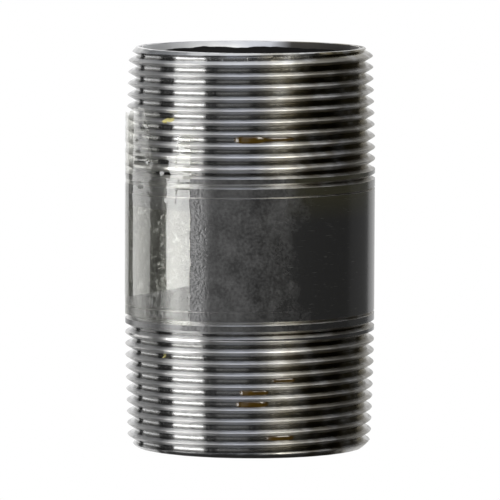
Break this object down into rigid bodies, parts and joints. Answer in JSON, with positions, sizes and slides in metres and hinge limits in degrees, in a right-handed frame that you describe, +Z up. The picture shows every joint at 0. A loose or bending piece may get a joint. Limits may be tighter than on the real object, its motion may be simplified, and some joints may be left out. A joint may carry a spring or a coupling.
{
  "type": "threaded pipe nipple",
  "caption": "Short steel pipe with a tapered external pipe thread on each end and a plain lacquered middle, for joining two female pipe fittings.",
  "frame": {"origin": "on the bore's axis, in the plane of the lower end face", "axes": "+Z up the bore, towards the upper end; -Y is the front, away from the overlap of the clear film"},
  "size_m": [0.0484, 0.0482, 0.0774],
  "materials": {
    "bare_steel": "satin",
    "black_lacquer": "satin",
    "clear_film": "gloss",
    "cutting_oil": "gloss"
  },
  "bodies": {
    "root": {"nipple_body": "bare_steel", "lacquer_coat": "black_lacquer", "clear_tape_lower": "clear_film", "clear_tape_upper": "clear_film"}
  },
  "joints": []
}
